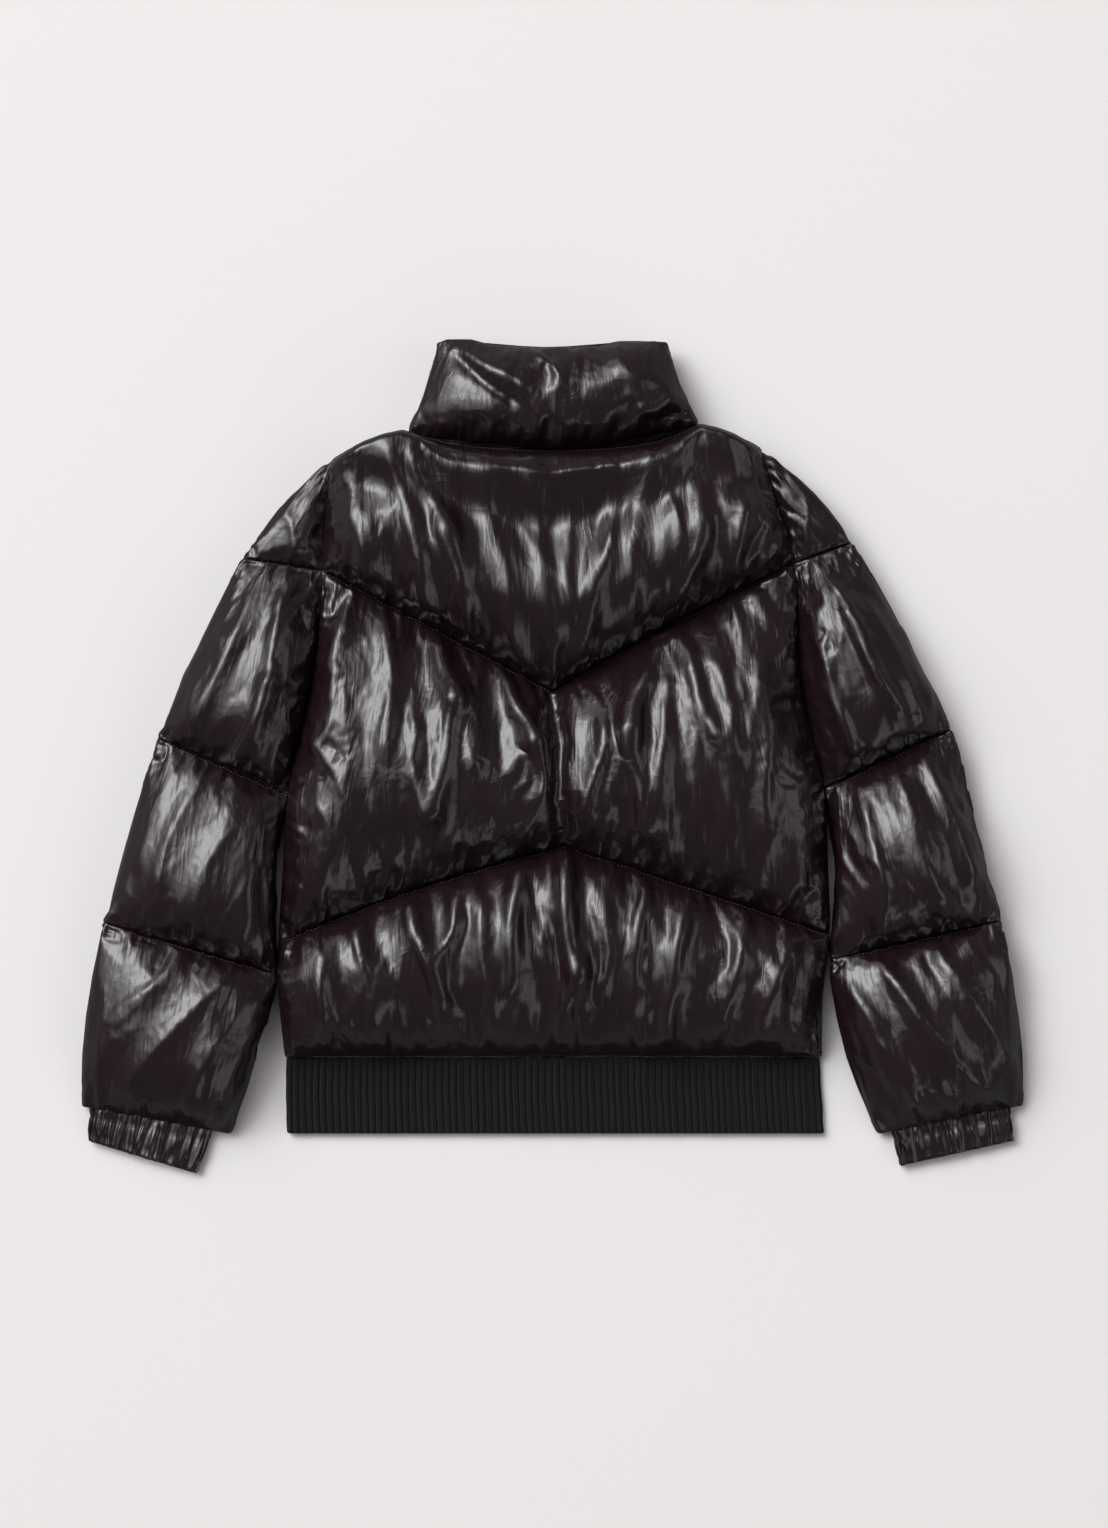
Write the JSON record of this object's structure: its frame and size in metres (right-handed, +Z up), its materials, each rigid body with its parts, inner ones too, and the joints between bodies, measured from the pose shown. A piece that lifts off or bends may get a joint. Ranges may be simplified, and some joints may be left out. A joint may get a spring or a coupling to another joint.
{
  "type": "puffer jacket",
  "caption": "Short padded jacket lying face down: stand collar, chevron-quilted back, quilted sleeves, gathered cuffs and a ribbed hem band",
  "frame": {"origin": "under the middle of the laid-out jacket, on the surface it lies on", "axes": "+X towards the wearer's right sleeve, +Y towards the collar, +Z up from the surface, out of the jacket's back"},
  "size_m": [0.8046, 0.7154, 0.0819],
  "materials": {
    "shell": "glossy coated nylon, brown-black",
    "rib": "matt charcoal rib knit",
    "zip_tape": "matt woven tape, black",
    "zip_teeth": "moulded teeth, black",
    "zip_metal": "black painted zinc"
  },
  "bodies": {
    "jacket": {"back_yoke": "shell", "back_middle": "shell", "back_lower": "shell", "front_left_upper": "shell", "front_left_middle": "shell", "front_left_lower": "shell", "front_right_upper": "shell", "front_right_middle": "shell", "front_right_lower": "shell", "sleeve_left_cap": "shell", "sleeve_left_upper": "shell", "sleeve_left_forearm": "shell", "sleeve_left_lower": "shell", "cuff_left": "shell", "sleeve_right_cap": "shell", "sleeve_right_upper": "shell", "sleeve_right_forearm": "shell", "sleeve_right_lower": "shell", "cuff_right": "shell", "collar": "shell", "hem_band": "rib", "zip_tape_left": "zip_tape", "zip_tape_right": "zip_tape", "zip_teeth": "zip_teeth", "zip_slider": "zip_metal"},
    "pull": {"zip_pull": "zip_metal"}
  },
  "joints": [
    {"name": "pull_hinge", "type": "hinge", "parent": "jacket", "child": "pull", "pos_m": [0.0005, 0.3271, 0.0134], "axis": [1, 0, 0], "range_deg": [-29, 0]}
  ]
}
